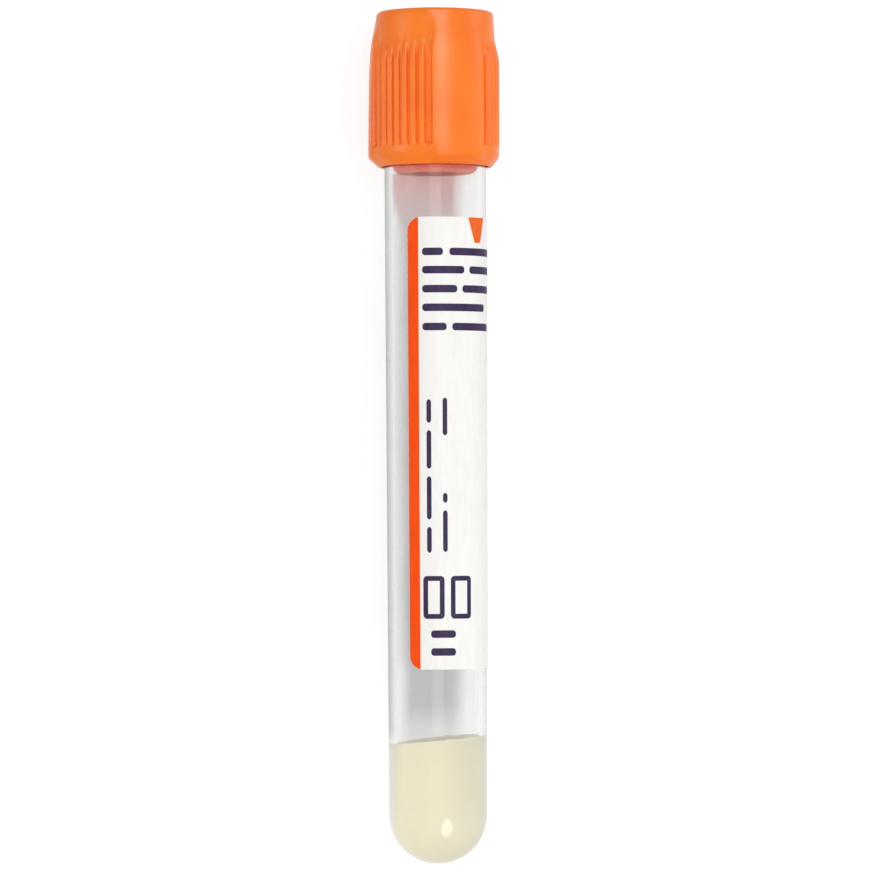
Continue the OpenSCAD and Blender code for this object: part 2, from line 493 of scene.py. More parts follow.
class Finish:
    """What a surface is made of.

    Attributes:
        name: Name of the finish's material.
    """

    name: str

    def lay_out(self, sheet: NodeSheet) -> None:
        """Lays the finish's nodes out on a sheet."""
        raise NotImplementedError

    def material(self) -> bpy.types.Material:
        """Makes the finish's material.

        Returns:
            The material.
        """
        sheet = NodeSheet(self.name)
        self.lay_out(sheet)
        return sheet.material


@dataclass(frozen=True)
class MouldedPlastic(Finish):
    """Satin moulded plastic with a fine grain and a slight cloud in its colour."""

    name: str = "shield_plastic"
    base: Colour = srgb(254, 126, 16)
    cloud: Colour = srgb(248, 116, 10)
    roughness: float = 0.31
    grain: float = 0.004

    def lay_out(self, sheet: NodeSheet) -> None:
        """Lays out the plastic's nodes.

        Args:
            sheet: The sheet that they go to.
        """
        cloud = sheet.span(sheet.noise(160, 2), 0.35, 0.65)
        low, high = self.roughness - 0.03, self.roughness + 0.04
        wear = sheet.span(sheet.noise(900, 2), 0.3, 0.7, low, high)
        sheet.set(Base_Color=sheet.blend(cloud, self.base, self.cloud), Roughness=wear)
        sheet.bump(sheet.noise(5200, 2), self.grain)
        sheet.set(IOR=1.5, Specular_IOR_Level=0.32)


@dataclass(frozen=True)
class StopperRubber(Finish):
    """Matte brick-red rubber with a dusty bloom, and a pale band of painted light on its lower end
    that lifts the shade under the plug.
    """

    name: str = "stopper_rubber"
    base: Colour = srgb(246, 62, 20)
    bloom: Colour = srgb(246, 92, 52)
    painted_light: Colour = srgb(255, 152, 124)
    painted_light_z: Point = (87.85, 88.35)
    roughness: float = 0.62

    def lay_out(self, sheet: NodeSheet) -> None:
        """Lays out the rubber's nodes.

        Args:
            sheet: The sheet that they go to.
        """
        bloom = sheet.span(sheet.noise(700, 5), 0.45, 0.75)
        # Painted light: the plug's lower end is painted pale, brightening its shaded underside.
        painted_light = sheet.across("Z", *self.painted_light_z, 1.0, 0.0)
        body = sheet.blend(painted_light, sheet.blend(bloom, self.base, self.bloom), self.painted_light)
        wear = sheet.span(bloom, 0, 1, self.roughness - 0.08, self.roughness + 0.1)
        sheet.set(Base_Color=body, Roughness=wear)
        sheet.bump(sheet.noise(3000, 4), 0.012)
        sheet.set(IOR=1.5, Specular_IOR_Level=0.15)


@dataclass(frozen=True)
class ClearPlastic(Finish):
    """Clear glossy plastic with painted shade: above the gel its colour darkens where its wall is
    met at a slant, and the +X side keeps only a share of that, as if lit from there.
    """

    name: str = "tube_plastic"
    clear: Colour = srgb(249, 249, 249)
    turning_shade: Colour = srgb(198, 199, 199)
    grazing_shade: Colour = srgb(122, 123, 123)
    side_reach: float = 4.0
    lit_side_shade_share: float = 0.4
    gel_z: Point = (14.5, 17.0)
    shadow: Colour = srgb(240, 240, 240)
    roughness: float = 0.05
    refraction: float = 1.57

    def glass(self, sheet: NodeSheet, tint: Socket) -> None:
        """Turns a tint into clear plastic that lets lamps through.

        Args:
            sheet: The nodes so far.
            tint: The plastic's colour.
        """
        sheet.set(IOR=self.refraction, Transmission_Weight=1.0)
        low, high = self.roughness - 0.02, self.roughness + 0.05
        haze = sheet.span(sheet.noise(500, 4, 0.3), 0.4, 0.8, low, high)
        sheet.set(Base_Color=tint, Roughness=haze)
        sheet.bump(sheet.noise(140, 2, 0.12), 0.03, 0.35)
        shadow_ray = sheet.add("ShaderNodeLightPath").outputs["Is Shadow Ray"]
        passing = sheet.add("ShaderNodeBsdfTransparent", self.shadow)
        sheet.surface("ShaderNodeMixShader", shadow_ray, sheet.body, passing.outputs["BSDF"])

    def lay_out(self, sheet: NodeSheet) -> None:
        """Lays out the outer face's nodes.

        Args:
            sheet: The sheet that they go to.
        """
        # Painted shade: the colour darkens towards the silhouettes, standing in for dark edges of
        # the glass.
        facing = sheet.add("ShaderNodeLayerWeight")
        edge = sheet.ramp(facing.outputs["Facing"], (
            (0.0, self.clear), (0.41, self.clear), (0.53, self.turning_shade), (0.78, self.grazing_shade),
        ))
        above = sheet.across("Z", *self.gel_z)
        # Painted light: the +X side keeps only a share of the painted shade, as if lit from that
        # side.
        side = sheet.across("X", -self.side_reach, self.side_reach, 1.0, self.lit_side_shade_share)
        self.glass(sheet, sheet.blend(sheet.count("MULTIPLY", above, side), self.clear, edge))


@dataclass(frozen=True)
class LumenFace(ClearPlastic):
    """The tube's inner face, with a dull sheet of painted shade on one side that turns pink near
    the top, a painted reflection of the closure.
    """

    name: str = "tube_lumen"
    bare: Colour = srgb(245, 245, 244)
    film: Colour = srgb(158, 159, 158)
    painted_reflection: Colour = srgb(187, 112, 104)
    painted_reflection_z: Point = (79.0, 87.0)
    left: Point = (-60.0, -35.0)
    right: Point = (20.0, 44.0)
    plug_z: Point = (87.55, 87.8)
    foot_z: Point = (15.5, 20.5)
    foot_share: float = 0.3
    creep: float = 25.0
    creep_z: Point = (79.5, 86.5)

    def lay_out(self, sheet: NodeSheet) -> None:
        """Lays out the inner face's nodes.

        Args:
            sheet: The sheet that they go to.
        """
        # Painted shade: a dull sheet over the inner face between two angles, fading under the
        # stopper and over the gel, stands for shade seen through the tube.
        front = sheet.count("MULTIPLY", sheet.upright("Y"), -1.0)
        turn = sheet.count("ARCTAN2", sheet.upright("X"), front)
        drift = sheet.span(sheet.noise(260, 3, 0.2), 0.2, 0.8, -0.1, 0.1)
        turn = sheet.count("ADD", turn, drift)
        creep = sheet.across("Z", *self.creep_z, 0.0, math.radians(self.creep), soft=True)
        left = sheet.span(
            sheet.count("ADD", turn, creep), *map(math.radians, self.left), soft=True
        )
        right = sheet.span(turn, *map(math.radians, self.right), 1, 0, soft=True)
        painted_shade_cover = sheet.count("MINIMUM", left, right)
        for ends in ((*self.plug_z, 1.0, 0.0), (*self.foot_z, self.foot_share)):
            painted_shade_cover = sheet.count("MULTIPLY", painted_shade_cover, sheet.across("Z", *ends))
        # Painted reflection: near the top the painted shade turns pink, as the orange shield and
        # red stopper would reflect there.
        film = sheet.blend(sheet.across("Z", *self.painted_reflection_z), self.film, self.painted_reflection)
        self.glass(sheet, sheet.blend(painted_shade_cover, self.bare, film))


@dataclass(frozen=True)
class RimFace(Finish):
    """The milky end of the clear wall at the tube's mouth."""

    name: str = "tube_rim"
    base: Colour = srgb(238, 240, 240)
    roughness: float = 0.28
    refraction: float = 1.57
    clearness: float = 0.35

    def lay_out(self, sheet: NodeSheet) -> None:
        """Lays out the rim's nodes.

        Args:
            sheet: The sheet that they go to.
        """
        wear = sheet.span(sheet.noise(1200, 2), 0.3, 0.7, self.roughness, self.roughness + 0.1)
        sheet.set(Base_Color=self.base, Roughness=wear, IOR=self.refraction)
        sheet.set(Transmission_Weight=self.clearness)


@dataclass(frozen=True)
class SeparatorGel(Finish):
    """Cloudy cream gel with a wet surface; its colour is painted lighter on the -X side and darker
    on the +X side, with a pale painted reflection at the -X wall and deeper painted shade at the +X
    wall.
    """

    name: str = "separator_gel"
    pale: Colour = srgb(255, 250, 240)
    painted_lit_side: Colour = srgb(255, 246, 219)
    middle: Colour = srgb(247, 238, 211)
    painted_shade_side: Colour = srgb(230, 226, 203)
    painted_shade_edge: Colour = srgb(230, 226, 217)
    streak: Colour = srgb(240, 233, 203)
    half_width: float = 5.4
    bleeding: Sequence[float] = (1.0, 0.9, 0.6)

    def lay_out(self, sheet: NodeSheet) -> None:
        """Lays out the gel's nodes.

        Args:
            sheet: The sheet that they go to.
        """
        streak = sheet.span(sheet.noise(150, 3, 0.5), 0.42, 0.8, 0.0, 0.6)
        # Painted light and shade: a pale painted reflection at the -X wall, a lit -X side, a shaded
        # +X side and deeper shade at the +X wall.
        side = sheet.across("X", -self.half_width, self.half_width)
        body = sheet.ramp(side, (
            (0.0, self.pale), (0.03, self.pale), (0.06, self.painted_lit_side), (0.45, self.middle),
            (0.8, self.painted_shade_side), (0.945, self.painted_shade_side), (0.985, self.painted_shade_edge),
        ))
        wet = sheet.span(streak, 0, 1, 0.22, 0.34)
        sheet.set(Base_Color=sheet.blend(streak, body, self.streak), Roughness=wet)
        sheet.bump(sheet.noise(420, 3), 0.02, 0.5)
        sheet.set(IOR=1.41, Specular_IOR_Level=0.25, Subsurface_Weight=0.35)
        sheet.set(Subsurface_Scale=2.0 * MM, Subsurface_Radius=self.bleeding)


@dataclass(frozen=True)
class LabelFilm(Finish):
    """Smooth film or ink with a faint fibre and a soft sheen."""

    name: str = "label_film"
    base: Colour = srgb(245, 244, 241)
    tone: Colour = srgb(240, 239, 235)
    roughness: float = 0.42
    gloss: float = 0.3

    def lay_out(self, sheet: NodeSheet) -> None:
        """Lays out the film's nodes.

        Args:
            sheet: The sheet that they go to.
        """
        fibre = sheet.span(sheet.noise(1400, 4, 0.25), 0.35, 0.7)
        sheen = sheet.span(fibre, 0, 1, self.roughness - 0.05, self.roughness + 0.08)
        sheet.set(Base_Color=sheet.blend(fibre, self.base, self.tone), Roughness=sheen)
        sheet.bump(sheet.noise(2600, 3), 0.004)
        sheet.set(IOR=1.48, Specular_IOR_Level=self.gloss)


@dataclass
class TubeBarrel:
    """The clear tube: a tapering wall with a round bottom and a chamfered rim. Sizes in mm."""

    length: float = 100.0
    rim_r: float = 6.525
    foot_r: float = 6.25
    wall: float = 1.0
    chamfer: float = 0.2
    arc_steps: int = 28
    wall_rings: int = 24

    def radius(self, height: float) -> float:
        """Outer radius of the wall at a height."""
        return self.foot_r + (self.rim_r - self.foot_r) * (height - self.foot_r) / (
            self.length - self.foot_r
        )

    def line(self, inset: float, high: float, count: int) -> list[Point]:
        """Points around the round bottom and up the wall, set in from the outer face.

        Args:
            inset: Distance from the outer face.
            high: Height of the last point.
            count: Number of points up the wall.

        Returns:
            The points, from the axis upwards.
        """
        low, bowl_r = self.foot_r, self.foot_r - inset
        turns = [math.radians(90 * i / self.arc_steps) for i in range(self.arc_steps)]
        bowl = [(bowl_r * math.sin(turn), low - bowl_r * math.cos(turn)) for turn in turns]
        heights = [low + (high - low) * i / (count - 1) for i in range(count)]
        return bowl + [(self.radius(h) - inset, h) for h in heights]

    def build(self) -> None:
        """Models the tube and dresses it."""
        rim = self.length - self.chamfer
        lip = [
            (self.rim_r - self.chamfer, self.length),
            (self.rim_r - self.wall + self.chamfer, self.length),
        ]
        outer, inner = (self.line(inset, rim, self.wall_rings) for inset in (0, self.wall))
        piece = TurnedPiece("tube_barrel", outer + lip + inner[::-1], 256).build()
        Bench.soften(piece, 30)
        Bench.finish(piece, ClearPlastic(), Body.TUBE, Slot.TUBE, "tube")
        for looks in (LumenFace(), RimFace()):
            piece.data.materials.append(looks.material())
        for face in piece.data.polygons:
            height = (face.center - POSE.foot).dot(POSE.axis)
            core = POSE.foot + POSE.axis * max(height, self.foot_r * MM)
            inner = (face.center - core).dot(face.normal) < 0
            face.material_index = 2 if height > rim * MM else int(inner)


@dataclass
class GelPlug:
    """The gel in the round bottom, under a slanted surface with a rim that clings. Sizes in mm.

    Attributes:
        soak: How far the gel reaches into the wall, so that no air shows between them.
        spare: Height of the blank above the surface that is cut.
        rings: Width and fall of each ring of the surface, from the wall inwards.
    """

    barrel: TubeBarrel
    height: float = 15.9
    slope: float = 5.6
    soak: float = 0.02
    spare: float = 3.0
    rings: Sequence[Point] = ((0.25, 0.0), (0.25, 0.175), (0.4, 0.175), (1.2, 0.05))

    def build(self) -> None:
        """Models the gel and dresses it."""
        top = self.height + self.spare
        section = [*self.barrel.line(self.barrel.wall - self.soak, top, 10), (0, top)]
        piece = TurnedPiece("gel_fill", section, 192).build()
        tilt = math.radians(self.slope)
        normal = Vector((-math.sin(tilt), 0, math.cos(tilt)))
        Bench.edit(piece)
        bpy.ops.mesh.bisect(
            plane_co=(0, 0, self.height * MM), plane_no=normal, use_fill=True, clear_outer=True
        )
        bpy.ops.mesh.select_all(action="DESELECT")
        Bench.close()
        for face in piece.data.polygons:  # the cut is the only large one that faces its normal
            face.select = face.normal.dot(normal) > 0.99 and len(face.vertices) > 20
        bpy.ops.object.mode_set(mode="EDIT")
        bpy.ops.mesh.select_mode(type="FACE")
        for width, fall in self.rings:
            bpy.ops.mesh.inset(thickness=width * MM, depth=-fall * MM)
        bpy.ops.mesh.select_all(action="SELECT")
        bpy.ops.mesh.normals_make_consistent(inside=False)
        Bench.close()
        Bench.soften(piece, 60)
        Bench.finish(piece, SeparatorGel(), Body.TUBE, Slot.GEL, "gel_plug")


@dataclass
class Stopper:
    """The rubber stopper: hollow plug, seat flange, neck and dished head. Sizes in mm.

    Attributes:
        squeeze: How far the plug reaches into the tube's wall, as squeezed rubber does.
    """

    barrel: TubeBarrel
    plug_z: float = 87.8
    plug_wall: float = 2.25
    plug_chamfer: float = 0.7
    hollow_top: float = 98.3
    dish_z: float = 102.5
    head_z: float = 103.3
    head_top: float = 104.5
    head_r: float = 5.58
    neck_r: float = 4.83
    seat_r: float = 6.45
    seat_top: float = 102.0
    dish_r: float = 3.48
    dish_flare: float = 0.2
    dish_sag: float = 0.15
    round_r: float = 0.3
    round_most: float = 0.45
    squeeze: float = 0.03

    def rounded(self, corners: Sequence[Point], steps: int = 4) -> list[Point]:
        """Rounds the corners of a line of points.

        Args:
            corners: The line. Its ends stay sharp.
            steps: Faces in each rounded corner.

        Returns:
            The line with its rounded corners.
        """
        line = [corners[0]]
        for before, corner, after in zip(corners, corners[1:], corners[2:]):
            a, b, c = Vector(before), Vector(corner), Vector(after)
            cut = min(self.round_r, *(side.length * self.round_most for side in (a - b, c - b)))
            start, end = b + (a - b).normalized() * cut, b + (c - b).normalized() * cut
            for i in range(steps + 1):
                t = i / steps
                p = start * (1 - t) ** 2 + b * 2 * t * (1 - t) + end * t ** 2
                line.append((p.x, p.y))
        return line + [corners[-1]]

    def build(self) -> None:
        """Models the stopper and dresses it."""
        plug_r = self.barrel.radius(self.plug_z) - self.barrel.wall + self.squeeze
        hollow_r, rim, cut = plug_r - self.plug_wall, self.barrel.length, self.plug_chamfer
        corners = [
            (0, self.hollow_top), (hollow_r, self.hollow_top), (hollow_r, self.plug_z),
            (plug_r - cut, self.plug_z), (plug_r, self.plug_z + cut), (plug_r, rim),
            (self.seat_r, rim), (self.seat_r, self.seat_top), (self.neck_r, self.seat_top),
            (self.neck_r, self.head_z), (self.head_r, self.head_z), (self.head_r, self.head_top),
            (self.dish_r + self.dish_flare, self.head_top),
            (self.dish_r - self.dish_sag, self.dish_z), (0, self.dish_z - self.dish_sag),
        ]
        piece = TurnedPiece("stopper_rubber", self.rounded(corners), 128).build()
        Bench.soften(piece, 50)
        Bench.finish(piece, StopperRubber(), Body.CLOSURE, Slot.STOPPER, "stopper")


@dataclass
class Shield:
    """The ribbed shield around the stopper. Sizes in mm, angles in degrees, lines by height.

    Attributes:
        blank_r: Radius of the blank whose outer rows are then shaped.
        panel_soft: Half the width of a panel's edge, at its foot and at its top.
        panel_spread: Heights between which that edge widens.
        panel_over: Angle by which a panel reaches into the ribbed zone.
        band_soft: Reach of a panel's edge on the band, before and after it.
        band_step: Reach of the band's upper edge, above and below it.
        blend_w: Distance over which the chamfer under the band is rounded.
        blend_over: How far above the chamfer its rounding can reach.
        inside: Section of the inside, from the top's edge to the skirt's.
        levels: Rows between the skirt and the top's edge, dense over the band and rib ends.
        rib_steps: Columns across a rib, as angles from its middle.
        edge_steps: Columns across a panel's edge, as angles from a zone's middle.
    """

    skirt_z: float = 88.7
    band_z: float = 89.85
    band_top: float = 91.15
    edge_z: float = 107.95
    skirt_edge: float = 7.25
    blank_r: float = 8.0
    rib_h: float = 0.43
    rib_pitch: float = 8.5
    rib_half: float = 3.55
    rib_power: float = 3.2
    ribs: int = 7
    zone_mid: float = -37.4
    zone_half: float = 35.0
    rib_full: float = 101.9
    rib_tip: float = 105.1
    panel_soft: Point = (0.75, 5.75)
    panel_spread: Point = (103.0, 107.0)
    panel_over: float = 0.2
    band_zone: float = 8.17
    band_panel: float = 8.52
    band_soft: Point = (6.0, 4.0)
    band_step: Point = (0.4, 0.2)
    blend_w: float = 0.3
    blend_over: float = 0.7
    edge_r: float = 0.45
    panel_line: Sequence[Point] = (
        (91.0, 8.515), (92.7, 8.50), (95.7, 8.455), (98.8, 8.395), (101.1, 8.335), (102.6, 8.25),
        (103.6, 8.17), (104.5, 8.06), (105.3, 7.91), (106.0, 7.75), (106.7, 7.61), (107.3, 7.51),
        (107.9, 7.42),
    )
    wall_line: Sequence[Point] = ((102.0, 7.79), (104.0, 7.72), (106.0, 7.61), (107.9, 7.50))
    inside: Sequence[Point] = (
        (6.2, 108.4), (6.05, 108.35), (5.93, 108.2), (5.88, 108.05), (5.88, 106.5),
        (5.88, 104.85), (5.68, 104.8), (5.68, 103.25), (4.9, 103.25), (4.88, 102.05),
        (6.7, 102.05), (6.8, 101.95), (6.8, 99), (6.8, 94), (6.8, 89.1), (6.85, 88.75),
        (7.0, 88.68),
    )
    levels: Sequence[float] = (
        88.9, 89.1, 89.3, 89.5, 89.65, 89.8, 89.95, 90.15, 90.5, 90.8, 90.95, 91.05, 91.15, 91.25,
        91.35, 91.45, 91.55, 91.8, 93, 95, 97, 99, 100.5, 101.5,
        *(101.9 + 0.25 * i for i in range(17)), 106.3, 106.8, 107.3,
    )
    rib_steps: Sequence[float] = (
        -3.95, -3.6, -3.3, -2.95, -2.5, -1.8, -0.9, 0.0, 0.9, 1.8, 2.5, 2.95, 3.3, 3.6,
    )
    edge_steps: Sequence[float] = (
        28.8, 30.2, 31.6, 32.8, 33.6, 34.2, 34.6, 34.9, 35.2, 35.6, 36.3, 37.5,
    )

    def off_zone(self, angle: float) -> float:
        """Angle to the middle of the nearest ribbed zone."""
        return (angle - self.zone_mid + 60) % 120 - 60

    def rib(self, off: float, height: float) -> float:
        """Height of the ribs over the wall.

        Args:
            off: Angle to the middle of the zone.
            height: Height up the tube.

        Returns:
            The ribs' height, or 0 between them.
        """
        index = round(off / self.rib_pitch)
        if abs(index) > self.ribs // 2:
            return 0.0
        share = abs(off - index * self.rib_pitch) / self.rib_half
        crown = max(0.0, 1 - share ** self.rib_power)
        sink = smooth(self.rib_full, self.rib_tip, height)
        return self.rib_h * max(0.0, crown - sink)

    def radius(self, angle: float, height: float) -> float:
        """Outer radius of the shield.

        Args:
            angle: Angle from the front, in degrees.
            height: Height up the tube.

        Returns:
            The radius, without the rounding of the top edge.
        """
        off = self.off_zone(angle)
        foot, top = self.panel_soft
        soft = foot + (top - foot) * smooth(*self.panel_spread, height)
        panel = smooth(self.zone_half - soft, self.zone_half + soft, abs(off) + self.panel_over)
        wall = along(self.wall_line, height) + self.rib(off, height)
        body = wall + (along(self.panel_line, height) - wall) * panel
        before, after = self.band_soft
        low = smooth(self.zone_half - before, self.zone_half + after, abs(off))
        band = self.band_zone + (self.band_panel - self.band_zone) * low
        above, below = self.band_step
        share = smooth(self.band_top + above, self.band_top - below, height)
        radius = body + (band - body) * share
        if height < self.band_z + self.blend_over:
            lean = (band - self.skirt_edge) / (self.band_z - self.skirt_z)
            slope = self.skirt_edge + (height - self.skirt_z) * lean
            near = max(0.0, 1 - abs(radius - slope) / self.blend_w)
            radius = min(radius, slope) - self.blend_w / 4 * near ** 2
        return radius

    def angles(self) -> list[float]:
        """Lists the columns, dense over the ribs and sparse over the panels.

        Returns:
            The columns' angles.
        """
        half = self.ribs // 2
        crests = [index * self.rib_pitch for index in range(-half, half + 1)]
        offs = [crest + step for crest in crests for step in self.rib_steps]
        offs.append(crests[-1] - self.rib_steps[0])
        offs += [*self.edge_steps, *(-value for value in self.edge_steps), *range(39, 82, 3)]
        return sorted((self.zone_mid + 120 * zone + off) % 360 for zone in range(3) for off in offs)

    def build(self) -> None:
        """Models the shield, shapes its outer rows and dresses it."""
        heights = [self.skirt_z, *self.levels, self.edge_z]
        corner = [self.edge_r * math.sin(math.radians(a)) for a in range(15, 91, 15)]
        rise = [0.0] * len(heights) + corner
        heights += [self.edge_z] * len(corner)
        blank = [(self.blank_r, z + up) for z, up in zip(heights, rise)]
        columns = sorted(self.angles(), key=lambda a: (a - 90) % 360)
        section = [*blank, *self.inside, blank[0]]
        piece = TurnedPiece("shield_shell", section, len(columns)).build()
        for vertex in piece.data.vertices:
            around = math.degrees(math.atan2(vertex.co.y, vertex.co.x)) % 360
            angle = columns[round(around / 360 * len(columns)) % len(columns)]
            radius, height = math.hypot(vertex.co.x, vertex.co.y) / MM, vertex.co.z / MM
            if radius > self.blank_r - self.edge_r:
                row = min(range(len(blank)), key=lambda i: abs(blank[i][1] - height))
                inset = self.edge_r - math.sqrt(max(self.edge_r ** 2 - rise[row] ** 2, 0.0))
                radius = self.radius(angle, heights[row]) - inset
            turn = math.radians(angle)
            vertex.co = (radius * math.sin(turn) * MM, -radius * math.cos(turn) * MM, height * MM)
        piece.data.update()
        Bench.edit(piece)
        Bench.weld()
        Bench.soften(piece, 42)
        Bench.finish(piece, MouldedPlastic(), Body.CLOSURE, Slot.SHIELD, "shield")


@dataclass
class Wrap:
    """Cuts flat shapes and wraps them around the tube. Sizes in mm, angles in degrees.

    Attributes:
        arc: Length along the tube's wall of one degree.
        cut_every: Angle between the cuts that let a shape bend.
        cut_shift: Share of that angle by which the cuts miss the shapes' own edges.
    """

    barrel: TubeBarrel
    arc: float = math.radians(1) * 6.55
    cut_every: float = 1.5
    cut_shift: float = 0.013

    def patch(
        self, name: str, start: float, end: float, low: float, high: float,
        corner: float = 0.0, hollow: float = 0.0, foot: Sequence[float] = (),
    ) -> Piece:
        """Cuts one flat shape out of a plane.

        Args:
            name: Name of the shape.
            start: Angle of its left edge.
            end: Angle of its right edge.
            low: Height of its lower edge.
            high: Height of its upper edge.
            corner: Radius of its corners.
            hollow: Width of its rim, where its middle is open.
            foot: Angles of the left and right ends of a narrower lower edge.

        Returns:
            The flat shape, with the angle on X and the height on Y.
        """
        piece = Bench.plane(name)
        Bench.edit(piece)
        bpy.ops.transform.resize(value=((end - start) * self.arc, high - low, 1))
        middle = (start + end) / 2
        if foot:
            Bench.close()
            for vertex in piece.data.vertices:
                if vertex.co.y < 0:
                    vertex.co.x = (foot[vertex.co.x > 0] - middle) * self.arc * MM
            Bench.edit(piece)
        bpy.ops.transform.translate(value=(middle * self.arc * MM, (low + high) / 2 * MM, 0))
        if corner:
            bpy.ops.mesh.bevel(offset=corner * MM, segments=6, affect="VERTICES")
        if hollow:
            bpy.ops.mesh.select_all(action="SELECT")
            bpy.ops.mesh.select_mode(type="FACE")
            bpy.ops.mesh.inset(thickness=hollow * MM)
            bpy.ops.mesh.delete(type="FACE")
        Bench.close()
        return piece

    def wrap(self, name: str, patches: Sequence[Piece], lift: float, thickness: float) -> Piece:
        """Joins flat shapes, cuts them into strips, wraps them and gives them their thickness.

        Args:
            name: Name of the wrapped piece.
            patches: The flat shapes.
            lift: Distance from the tube's wall to the piece's inner face.
            thickness: Thickness of the piece.

        Returns:
            The wrapped piece, standing upright.
        """
        Bench.hold(patches[0])
        for patch in patches[1:]:
            patch.select_set(True)
        if len(patches) > 1:
            bpy.ops.object.join()
        piece = bpy.context.object
        piece.name = piece.data.name = name
        places = [vertex.co.x for vertex in piece.data.vertices]
        pitch = self.cut_every * self.arc * MM
        for i in range(math.ceil(min(places) / pitch), math.floor(max(places) / pitch) + 1):
            Bench.edit(piece)
            bpy.ops.mesh.bisect(plane_co=((i + self.cut_shift) * pitch, 0, 0), plane_no=(1, 0, 0))
        Bench.close()
        for vertex in piece.data.vertices:
            turn = math.radians(vertex.co.x / MM / self.arc)
            height = vertex.co.y
            radius = (self.barrel.radius(height / MM) + lift) * MM
            vertex.co = (radius * math.sin(turn), -radius * math.cos(turn), height)
        piece.data.update()
        Bench.hold(piece)
        film = piece.modifiers.new("thickness", "SOLIDIFY")
        film.thickness = thickness * MM
        film.offset = 1
        bpy.ops.object.modifier_apply(modifier=film.name)
        Bench.soften(piece, 40)
        return piece


@dataclass
class Label:
    """The label and its print: a stripe, a fill mark, plain bars and boxes. Sizes in mm.

    Attributes:
        bite: How far the ink reaches into the film.
        tuck: Angle and distance by which the stripe stays inside the label's edges.
        mark: Left and right angle, lower and upper height of the fill mark.
        mark_foot: Left and right angle of its lower edge.
        bars: The angles and heights of each bar.
        boxes: The angles and heights of each open box.
    """

    wrap: Wrap
    base: float = 24.9
    top: float = 82.02
    start: float = -32.5
    span: float = 245.0
    corner: float = 1.8
    gap: float = 0.01
    film: float = 0.1
    ink: float = 0.012
    bite: float = 0.002
    stripe_end: float = -19.4
    tuck: Point = (0.05, 0.01)
    mark: Patch = (38.9, 67.2, 78.8, 82.0)
    mark_foot: Point = (48.7, 59.1)
    bars: Sequence[Patch] = (
        (-15.1, 8.2, 77.15, 78.1), (15.4, 92.0, 77.15, 78.1),
        (-15.1, 33.5, 74.85, 75.8), (40.5, 88.0, 74.85, 75.8),
        (-15.1, 24.5, 72.45, 73.4), (31.0, 84.0, 72.45, 73.4), (-15.1, 68.0, 70.1, 71.05),
        (-15.1, 12.0, 67.67, 68.62), (18.5, 80.0, 67.67, 68.62), (-11.0, -5.8, 56.0, 59.0),
        (-11.0, -5.8, 50.2, 55.1), (-11.0, -5.8, 43.8, 49.3), (-11.0, -5.8, 39.6, 42.9),
        (7.0, 12.2, 54.4, 59.2), (7.0, 12.2, 45.9, 47.2), (7.0, 12.2, 39.7, 45.0),
        (-7.0, 21.4, 28.9, 29.85), (-7.0, 21.4, 26.65, 27.6),
    )
    boxes: Sequence[Patch] = ((-15.6, 8.4, 31.3, 36.7), (15.6, 41.4, 31.3, 36.7))

    def print_on(self, name: str, shapes: Sequence[Piece], looks: LabelFilm) -> None:
        """Wraps flat shapes around the label as one piece of ink, and dresses it."""
        piece = self.wrap.wrap(name, shapes, self.gap + self.film - self.bite, self.ink)
        Bench.finish(piece, looks, Body.TUBE, Slot.LABEL)

    def build(self) -> None:
        """Models the label and its print, and dresses them."""
        cut, end = self.wrap.patch, self.start + self.span
        flat = cut("label_film", self.start, end, self.base, self.top, corner=self.corner)
        film = self.wrap.wrap("label_film", [flat], self.gap, self.film)
        Bench.finish(film, LabelFilm(), Body.TUBE, Slot.LABEL, "label")

        orange = LabelFilm("orange_ink", srgb(254, 82, 0), srgb(248, 76, 0), 0.45, 0.1)
        self.print_on("label_stripe", [self.stripe()], orange)

        mark = cut("fill_mark", *self.mark, corner=0.12, foot=self.mark_foot)
        pale = LabelFilm("mark_ink", srgb(240, 106, 36), srgb(236, 98, 30), 0.45, 0.1)
        self.print_on("fill_mark", [mark], pale)

        violet = LabelFilm("violet_ink", srgb(46, 30, 68), srgb(60, 44, 82), 0.5, 0.2)
        shapes = [cut(f"bar_{i}", *bar, corner=0.4) for i, bar in enumerate(self.bars)]
        shapes += [
            cut(f"box_{i}", *box, corner=0.5, hollow=0.62) for i, box in enumerate(self.boxes)
        ]
        self.print_on("label_print", shapes, violet)

    def stripe(self) -> Piece:
        """Cuts the stripe along the label's left edge, with the label's rounded corners.

        Returns:
            The flat stripe.
        """
        turn, inset = self.tuck
        flat = self.wrap.patch(
            "label_stripe", self.start + turn, self.start + self.span, self.base + inset,
            self.top - inset, corner=self.corner,
        )
        Bench.edit(flat)
        bpy.ops.mesh.bisect(
            plane_co=(self.stripe_end * self.wrap.arc * MM, 0, 0), plane_no=(1, 0, 0),
            clear_outer=True,
        )
        Bench.close()
        return flat


